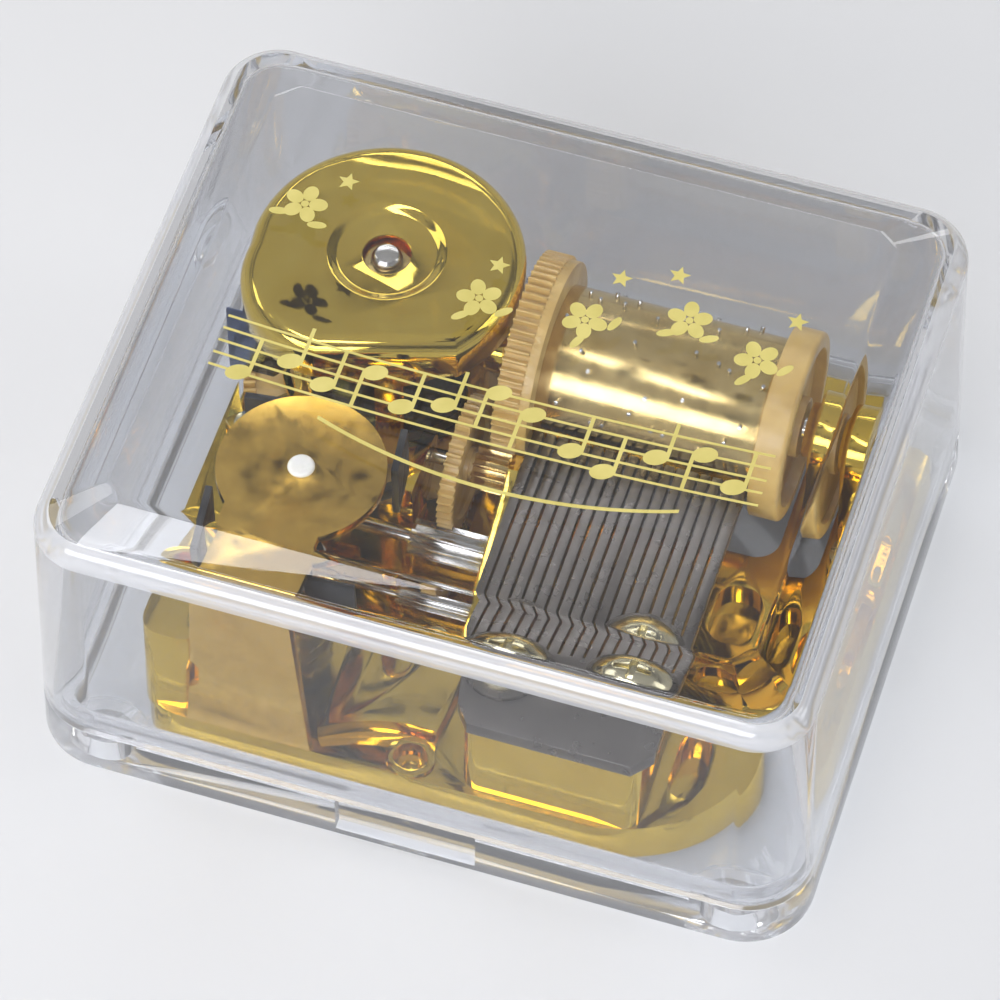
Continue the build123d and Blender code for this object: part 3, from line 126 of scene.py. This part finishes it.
def metal(name, low, high, rough, waves=None, grain=None):
    """Metal with a colour that wanders from low to high and a roughness that wanders over rough.

    waves is (scale, height) of slow ripples. grain is (scale, stretch, height) of fine tool marks."""
    material, nodes, links, shader = start_material(name)
    shader.inputs["Metallic"].default_value = 1.0
    tone = noise(nodes, links, 260, 4)
    links.new(two_tone(nodes, links, tone, low, high), shader.inputs["Base Color"])
    smear = noise(nodes, links, 700, 5)
    links.new(ranged(nodes, links, smear, *rough), shader.inputs["Roughness"])
    under = None
    if waves:
        under = bumped(nodes, links, noise(nodes, links, waves[0], 2), waves[1], 1.0, shader)
    if grain:
        bumped(nodes, links, noise(nodes, links, grain[0], 4, grain[1]), grain[2], 0.6, shader, under)
    return material


def plastic(name, low, high, rough, grain_height, subsurface=0.0, coat=0.0):
    """Moulded plastic with slight colour drift, a fine surface grain and, if asked, a soft inner glow."""
    material, nodes, links, shader = start_material(name)
    links.new(two_tone(nodes, links, noise(nodes, links, 420, 4), low, high), shader.inputs["Base Color"])
    links.new(ranged(nodes, links, noise(nodes, links, 900, 4), *rough), shader.inputs["Roughness"])
    shader.inputs["Subsurface Weight"].default_value = subsurface
    shader.inputs["Subsurface Radius"].default_value = (0.6 * MM, 0.4 * MM, 0.2 * MM)
    shader.inputs["Subsurface Scale"].default_value = 1.0
    shader.inputs["Coat Weight"].default_value = coat
    shader.inputs["Coat Roughness"].default_value = 0.12
    bumped(nodes, links, noise(nodes, links, 5200, 3), grain_height, 0.5, shader)
    return material


def clear_plastic(name, clarity):
    """Polystyrene that bends and mirrors what is seen and lets the lamps reach what is inside.

    clarity is 1 for glassy plastic. Below 1, what is missing is a white haze."""
    material, nodes, links, shader = start_material(name)
    shader.inputs["Transmission Weight"].default_value = clarity
    shader.inputs["IOR"].default_value = 1.49
    shader.inputs["Base Color"].default_value = (0.75, 0.755, 0.77, 1)
    links.new(ranged(nodes, links, noise(nodes, links, 300, 5), 0.0, 0.03), shader.inputs["Roughness"])
    bumped(nodes, links, noise(nodes, links, 55, 2), 0.01 * MM, 0.6, shader)
    through = nodes.new("ShaderNodeBsdfTransparent")
    through.inputs["Color"].default_value = (0.93, 0.94, 0.95, 1)
    path = nodes.new("ShaderNodeLightPath")
    mix = nodes.new("ShaderNodeMixShader")
    links.new(path.outputs["Is Shadow Ray"], mix.inputs["Fac"])
    links.new(shader.outputs["BSDF"], mix.inputs[1])
    links.new(through.outputs["BSDF"], mix.inputs[2])
    links.new(mix.outputs["Shader"], nodes["Material Output"].inputs["Surface"])
    return material


CLEAR = clear_plastic("clear_polystyrene", 1.0)
# Painted highlight: the shoulder's copy of the clear plastic has a white haze. The lamps light it up as the
# bright ribbon along the lid's edge.
CLEAR_SHOULDER_PAINTED_HIGHLIGHT = clear_plastic("clear_polystyrene_shoulder_painted_highlight", 0.60)
CLEAR_TRAY = clear_plastic("clear_polystyrene_tray", 0.88)
GOLD_CAST = metal(
    "gold_plated_casting", (0.80, 0.54, 0.07), (0.90, 0.64, 0.11), (0.05, 0.14),
    waves=(420, 0.02 * MM), grain=(6000, (1, 1, 1), 0.002 * MM),
)
GOLD_SHEET = metal(
    "gold_plated_sheet", (0.84, 0.60, 0.09), (0.92, 0.69, 0.14), (0.04, 0.10),
    waves=(180, 0.012 * MM), grain=(9000, (1, 1, 1), 0.001 * MM),
)
GOLD_SATIN = metal(
    "gold_plated_bracket", (0.78, 0.49, 0.09), (0.87, 0.57, 0.13), (0.12, 0.26),
    waves=(220, 0.008 * MM), grain=(7000, (1, 0.12, 1), 0.003 * MM),
)
BRASS_TURNED = metal(
    "turned_brass", (0.66, 0.48, 0.18), (0.80, 0.62, 0.28), (0.12, 0.24),
    grain=(9000, (1, 0.05, 0.05), 0.003 * MM),
)
COMB_STEEL = metal(
    "comb_steel", (0.15, 0.138, 0.13), (0.18, 0.166, 0.155), (0.26, 0.32),
    grain=(9000, (1, 0.06, 1), 0.0015 * MM),
)
BRIGHT_STEEL = metal("bright_steel", (0.58, 0.57, 0.55), (0.74, 0.73, 0.70), (0.12, 0.26),
                     grain=(8000, (1, 0.2, 1), 0.002 * MM))
SCREW_STEEL = metal("nickelled_screw", (0.62, 0.56, 0.36), (0.78, 0.73, 0.52), (0.10, 0.22),
                    grain=(7000, (1, 1, 1), 0.002 * MM))
WASHER_STEEL = metal("dark_washer", (0.07, 0.062, 0.055), (0.14, 0.125, 0.11), (0.2, 0.34))
BLUED_STEEL = metal("blued_spring_steel", (0.06, 0.08, 0.16), (0.16, 0.20, 0.30), (0.12, 0.28),
                    grain=(6000, (0.1, 0.1, 1), 0.003 * MM))
LEAD = metal("lead_weights", (0.22, 0.22, 0.23), (0.34, 0.34, 0.35), (0.35, 0.55))
TAN_PLASTIC = plastic("tan_acetal", (0.50, 0.32, 0.09), (0.66, 0.45, 0.15), (0.28, 0.42), 0.004 * MM,
                      0.12, 0.15)
BLACK_PLASTIC = plastic("black_acetal", (0.010, 0.010, 0.012), (0.03, 0.03, 0.032), (0.3, 0.45), 0.004 * MM)
WHITE_PLASTIC = plastic("white_acetal", (0.80, 0.78, 0.72), (0.90, 0.88, 0.83), (0.22, 0.32), 0.002 * MM,
                        0.2)
INK = plastic("gold_ink", (0.54, 0.46, 0.12), (0.64, 0.55, 0.17), (0.38, 0.52), 0.002 * MM)

# ==== mesh helpers ===============================================================================


def link_mesh(name, mesh, material, body, slot, *replaced):
    """Makes an object of a mesh, gives it its material and body, and hides the CAD parts that it replaces.
    """
    piece = bpy.data.objects.new(name, mesh)
    SCENE.collection.objects.link(piece)
    mesh.materials.clear()
    mesh.materials.append(material)
    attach(piece, body)
    if replaced:
        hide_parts(*replaced)
    return piece


def shade(bm, sharp_degrees):
    """Smooth faces, with the edges that turn by more than the angle kept sharp."""
    limit = math.radians(sharp_degrees)
    for face in bm.faces:
        face.smooth = True
    for edge in bm.edges:
        edge.smooth = len(edge.link_faces) == 2 and edge.calc_face_angle(0) < limit


def body_of(node):
    """The name of the CAD body that holds the node."""
    return NODES[node]["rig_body"]


SLOTS = {part["node"]: part["material_slot"] for part in frame["record"]["subparts"]}


def refined(node, material, bevel=0.0, segments=2, corner_degrees=28, sharp_degrees=38):
    """A copy of a CAD node with clean faces, rounded edges and smooth shading, in the node's place."""
    mesh = NODES[node].data.copy()
    mesh.name = node + "_fine"
    for layer in ("custom_normal", "sharp_face"):
        if layer in mesh.attributes:
            mesh.attributes.remove(mesh.attributes[layer])
    bm = bmesh.new()
    bm.from_mesh(mesh)
    bmesh.ops.remove_doubles(bm, verts=bm.verts, dist=0.0005 * MM)
    bmesh.ops.dissolve_limit(
        bm, angle_limit=math.radians(0.4), verts=bm.verts, edges=bm.edges, use_dissolve_boundaries=False
    )
    if bevel:
        limit = math.radians(corner_degrees)
        corners = [e for e in bm.edges if len(e.link_faces) == 2 and e.calc_face_angle(0) > limit]
        bmesh.ops.bevel(
            bm, geom=corners, offset=bevel, segments=segments, profile=0.5, affect="EDGES",
            clamp_overlap=True,
        )
    shade(bm, sharp_degrees)
    bm.to_mesh(mesh)
    bm.free()
    return link_mesh(node + "_fine", mesh, material, body_of(node), SLOTS[node], node)


# ==== clear case =================================================================================

CASE_DRAFT = math.tan(math.radians(1.98))
WALL = 2.0 * MM
CORNER = 5.5 * MM
CORNER_STEPS = 20
EDGE_STEPS = 12
SEAM_GAP = 0.08 * MM
SHOULDER_DROP, SHOULDER_FILLET, SHOULDER_TURN = 2.1 * MM, 2.0 * MM, 68
CEILING_DROP, CEILING_FILLET, CEILING_TURN = 0.65 * MM, 0.8 * MM, 80
CEILING_INSET = 0.4 * MM
PANEL_HALF_W, PANEL_HALF_D = 24.7 * MM, 20.15 * MM
PANEL_CUT = 1.6 * MM
PANEL_BEVEL, PANEL_BEVEL_DROP = 0.5 * MM, 0.38 * MM


def rounded_ring(bm, half_w, half_d, radius, z):
    """Vertices of a rounded rectangle at height z, counter-clockwise."""
    ring = []
    for corner, (sx, sy) in enumerate(((1, 1), (-1, 1), (-1, -1), (1, -1))):
        for step in range(CORNER_STEPS + 1):
            angle = math.radians(90 * corner + 90 * step / CORNER_STEPS)
            x = sx * (half_w - radius) + radius * math.cos(angle)
            y = sy * (half_d - radius) + radius * math.sin(angle)
            ring.append(bm.verts.new((x, y, z)))
    return ring


def bridge(bm, lower, upper):
    """Quads between two rings of equal length."""
    count = len(lower)
    for i in range(count):
        j = (i + 1) % count
        bm.faces.new((lower[i], lower[j], upper[j], upper[i]))


def case_sizes(z, inset=0.0):
    """Half width, half depth and corner radius of the drafted box at height z, inset by a wall."""
    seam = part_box("case_cover")
    shrink = (z - seam[0].z) * CASE_DRAFT
    half_w = seam[1].x - shrink - inset
    half_d = seam[1].y - shrink - inset
    return half_w, half_d, CORNER - z * CASE_DRAFT - inset


def shoulder_rings(bm, corner_z, inset, fillet, turn):
    """Rings that turn a wall inwards by an angle. Wall and slope would meet at corner_z."""
    foot_z = corner_z - fillet * math.tan(math.radians(turn / 2))
    half_w, half_d, radius = case_sizes(foot_z, inset)
    rings = []
    for step in range(EDGE_STEPS + 1):
        angle = math.radians(turn * step / EDGE_STEPS)
        pulled = fillet * (1 - math.cos(angle))
        rise = fillet * math.sin(angle)
        rings.append(rounded_ring(bm, half_w - pulled, half_d - pulled, radius - pulled, foot_z + rise))
    return rings


def cut_ring(bm, half_w, half_d, cut, z):
    """As rounded_ring, with each corner cut straight across."""
    ring = []
    for corner, (sx, sy) in enumerate(((1, 1), (-1, 1), (-1, -1), (1, -1))):
        middle = Vector((sx * (half_w - cut), sy * (half_d - cut), z))
        start, end = math.radians(90 * corner), math.radians(90 * corner + 90)
        first = middle + Vector((math.cos(start), math.sin(start), 0)) * cut
        last = middle + Vector((math.cos(end), math.sin(end), 0)) * cut
        for step in range(CORNER_STEPS + 1):
            ring.append(bm.verts.new(first.lerp(last, step / CORNER_STEPS)))
    return ring


def make_cover():
    """The lid: drafted walls, a rounded shoulder, four slopes and a bevelled panel, hollow below."""
    low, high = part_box("case_cover")
    rim_z = low.z + SEAM_GAP
    ceiling = high.z - WALL
    bm = bmesh.new()
    outer = [rounded_ring(bm, *case_sizes(rim_z), rim_z)]
    outer += shoulder_rings(bm, high.z - SHOULDER_DROP, 0.0, SHOULDER_FILLET, SHOULDER_TURN)
    bevel_w, bevel_d = PANEL_HALF_W + PANEL_BEVEL, PANEL_HALF_D + PANEL_BEVEL
    outer.append(cut_ring(bm, bevel_w, bevel_d, PANEL_CUT, high.z - PANEL_BEVEL_DROP))
    outer.append(cut_ring(bm, PANEL_HALF_W, PANEL_HALF_D, PANEL_CUT, high.z))
    inner = [rounded_ring(bm, *case_sizes(rim_z, WALL), rim_z)]
    inner += shoulder_rings(bm, ceiling - CEILING_DROP, WALL, CEILING_FILLET, CEILING_TURN)
    ceiling_w, ceiling_d = PANEL_HALF_W - CEILING_INSET, PANEL_HALF_D - CEILING_INSET
    inner.append(cut_ring(bm, ceiling_w, ceiling_d, PANEL_CUT, ceiling))
    for lower, upper in zip(outer, outer[1:]):
        bridge(bm, lower, upper)
    for lower, upper in zip(inner, inner[1:]):
        bridge(bm, upper, lower)
    bridge(bm, inner[0], outer[0])
    bm.faces.new(outer[-1])
    bm.faces.new(list(reversed(inner[-1])))
    shade(bm, 9)
    mesh = bpy.data.meshes.new("case_lid")
    bm.to_mesh(mesh)
    bm.free()
    lid = link_mesh("case_lid", mesh, CLEAR, "lid", "clear_case", "case_cover")
    # The shoulder faces take the hazy plastic, a painted highlight along the lid's edge.
    mesh.materials.append(CLEAR_SHOULDER_PAINTED_HIGHLIGHT)
    count = len(outer[0])
    for face in mesh.polygons[count:count * (EDGE_STEPS + 1)]:
        face.material_index = 1
    weighted = lid.modifiers.new("weighted", "WEIGHTED_NORMAL")
    weighted.keep_sharp = True


make_cover()
refined("case_base", CLEAR_TRAY, 0.12 * MM, 2)
refined("top_print", INK)

# ==== frame of the movement ======================================================================

refined("bedplate", GOLD_CAST, 0.35 * MM, 3)
refined("governor_bracket", GOLD_SATIN, 0.15 * MM, 3)
refined("cylinder_standard", GOLD_CAST, 0.25 * MM, 3)
refined("standard_screw", SCREW_STEEL, 0.1 * MM)
refined("train_plate", GOLD_SHEET, 0.1 * MM)
refined("plate_screw", SCREW_STEEL)
refined("movement_screws", SCREW_STEEL, 0.08 * MM)
refined("barrel_cover", GOLD_SHEET, 0.08 * MM)
refined("barrel_drum", GOLD_CAST, 0.08 * MM)
refined("barrel_screws", SCREW_STEEL, 0.1 * MM)
refined("mainspring", BLUED_STEEL, 0.03 * MM)
refined("arbor_bush", BRASS_TURNED, 0.05 * MM)
refined("arbor_bushes", BRASS_TURNED, 0.05 * MM)
refined("pivot_button", WHITE_PLASTIC, 0.05 * MM)
refined("lower_pivot", WHITE_PLASTIC, 0.05 * MM)

# ==== winder and crown wheel =====================================================================

refined("winding_arbor", BRIGHT_STEEL, 0.05 * MM)
refined("ratchet_wheel", BRIGHT_STEEL, 0.03 * MM)
refined("key_hub", BRIGHT_STEEL, 0.1 * MM)
refined("key_pin", BRIGHT_STEEL, 0.05 * MM)
refined("key_wing", BRIGHT_STEEL, 0.15 * MM)
refined("crown_wheel", TAN_PLASTIC, 0.04 * MM)
refined("click", BRIGHT_STEEL, 0.05 * MM)
refined("click_spring", BRIGHT_STEEL, 0.05 * MM)

# ==== cylinder ===================================================================================

refined("cylinder_tube", BRASS_TURNED, 0.05 * MM)
refined("cylinder_pins", BRIGHT_STEEL, 0.03 * MM)
refined("cylinder_gear", TAN_PLASTIC, 0.05 * MM)
refined("cylinder_end_disc", TAN_PLASTIC, 0.08 * MM)
refined("cylinder_shaft", BRIGHT_STEEL, 0.05 * MM)

# ==== wheel train and governor ===================================================================

refined("second_arbor", BRIGHT_STEEL, 0.05 * MM)
refined("first_pinion", BRASS_TURNED, 0.03 * MM)
refined("second_wheel", TAN_PLASTIC, 0.04 * MM)
refined("third_arbor", BRIGHT_STEEL, 0.05 * MM)
refined("second_pinion", BRIGHT_STEEL, 0.03 * MM)
refined("worm_wheel", BRASS_TURNED, 0.04 * MM)
refined("worm_spindle", BRIGHT_STEEL)
refined("governor_fan", BLACK_PLASTIC, 0.08 * MM)

# ==== comb =======================================================================================

refined("comb", COMB_STEEL, 0.05 * MM)
refined("comb_weights", LEAD, 0.05 * MM)
refined("comb_washers", WASHER_STEEL, 0.05 * MM)
refined("comb_screws", SCREW_STEEL, 0.1 * MM)

# ==== floor, light and camera ====================================================================

FLOOR_GAP = 0.05 * MM
LAMP_AIM_Z = 14 * MM
LAMP_DISTANCE = 0.60
COOL_WHITE = (0.94, 0.95, 1.0)
CAMERA_AIM_Z = 18 * MM


def make_floor():
    """A wide pale floor just under the case."""
    bm = bmesh.new()
    size = 1.5
    quadrants = ((-1, -1), (1, -1), (1, 1), (-1, 1))
    bm.faces.new([bm.verts.new((x * size, y * size, -FLOOR_GAP)) for x, y in quadrants])
    mesh = bpy.data.meshes.new("floor")
    bm.to_mesh(mesh)
    bm.free()
    floor = bpy.data.objects.new("floor", mesh)
    SCENE.collection.objects.link(floor)
    material, nodes, links, shader = start_material("pale_floor")
    links.new(
        two_tone(nodes, links, noise(nodes, links, 6, 2), (0.62, 0.62, 0.62), (0.65, 0.65, 0.65)),
        shader.inputs["Base Color"],
    )
    shader.inputs["Roughness"].default_value = 0.9
    shader.inputs["Specular IOR Level"].default_value = 0.1
    mesh.materials.append(material)


def softbox(name, direction, width, height, radiance, colour=(1, 1, 1)):
    """A rectangular lamp in that direction from the object, turned to face it."""
    data = bpy.data.lights.new(name, "AREA")
    data.shape = "RECTANGLE"
    data.size = width
    data.size_y = height
    data.energy = radiance * math.pi * width * height
    data.color = colour
    lamp = bpy.data.objects.new(name, data)
    SCENE.collection.objects.link(lamp)
    aim = Vector(direction).normalized()
    lamp.location = aim * LAMP_DISTANCE + Vector((0, 0, LAMP_AIM_Z))
    lamp.rotation_euler = aim.to_track_quat("Z", "Y").to_euler()


def make_world():
    """A dim room that is lighter overhead than near the horizon."""
    world = bpy.data.worlds.new("room")
    world.use_nodes = True
    nodes, links = world.node_tree.nodes, world.node_tree.links
    coordinates = nodes.new("ShaderNodeTexCoord")
    split = nodes.new("ShaderNodeSeparateXYZ")
    ramp = nodes.new("ShaderNodeValToRGB")
    ramp.color_ramp.interpolation = "EASE"
    stops = ((0.0, 0.75), (0.30, 0.60), (0.52, 0.12), (0.66, 0.16), (0.80, 0.58), (1.0, 0.70))
    while len(ramp.color_ramp.elements) < len(stops):
        ramp.color_ramp.elements.new(0.5)
    for element, (place, level) in zip(ramp.color_ramp.elements, stops):
        element.position = place
        element.color = (level, level, level * 1.02, 1)
    links.new(coordinates.outputs["Generated"], split.inputs["Vector"])
    links.new(split.outputs["Z"], ramp.inputs["Fac"])
    links.new(ramp.outputs["Color"], nodes["Background"].inputs["Color"])
    nodes["Background"].inputs["Strength"].default_value = 1.0
    SCENE.world = world


def make_camera():
    """A long lens from the front right, looking down on the lid."""
    azimuth, elevation, roll = math.radians(17.816), math.radians(55.819), math.radians(-0.191)
    distance = 427.44 * MM
    slide, lift = -0.665 * MM, -3.712 * MM
    back = Vector((
        math.sin(azimuth) * math.cos(elevation),
        -math.cos(azimuth) * math.cos(elevation),
        math.sin(elevation),
    ))
    right = Vector((math.cos(azimuth), math.sin(azimuth), 0))
    up = back.cross(right)
    data = bpy.data.cameras.new("camera")
    data.sensor_width = 36
    data.lens = 201.1
    data.clip_start = 0.01
    data.clip_end = 10
    camera = bpy.data.objects.new("camera", data)
    SCENE.collection.objects.link(camera)
    rolled_right = right * math.cos(roll) + up * math.sin(roll)
    rolled_up = up * math.cos(roll) - right * math.sin(roll)
    place = back * distance + right * slide + up * lift + Vector((0, 0, CAMERA_AIM_Z))
    turn = Matrix((rolled_right, rolled_up, back)).transposed()
    camera.matrix_world = Matrix.Translation(place) @ turn.to_4x4()
    SCENE.camera = camera


make_floor()
make_world()
softbox("back_strip", (-0.17, 0.74, 0.60), 0.50, 0.10, 4.5)
softbox("top_left_box", (-0.75, 0.15, 0.70), 0.20, 0.25, 3.0)
softbox("front_box", (-0.17, -0.85, 0.52), 0.50, 0.20, 9.0, COOL_WHITE)
softbox("front_top_box", (-0.17, -0.30, 0.95), 0.40, 0.08, 9.0, COOL_WHITE)
softbox("right_box", (0.90, 0.20, 0.50), 0.16, 0.30, 3.0)
make_camera()
SCENE.view_settings.view_transform = "Standard"
SCENE.cycles.max_bounces = 28
SCENE.cycles.transmission_bounces = 24
SCENE.cycles.glossy_bounces = 12
SCENE.cycles.transparent_max_bounces = 24
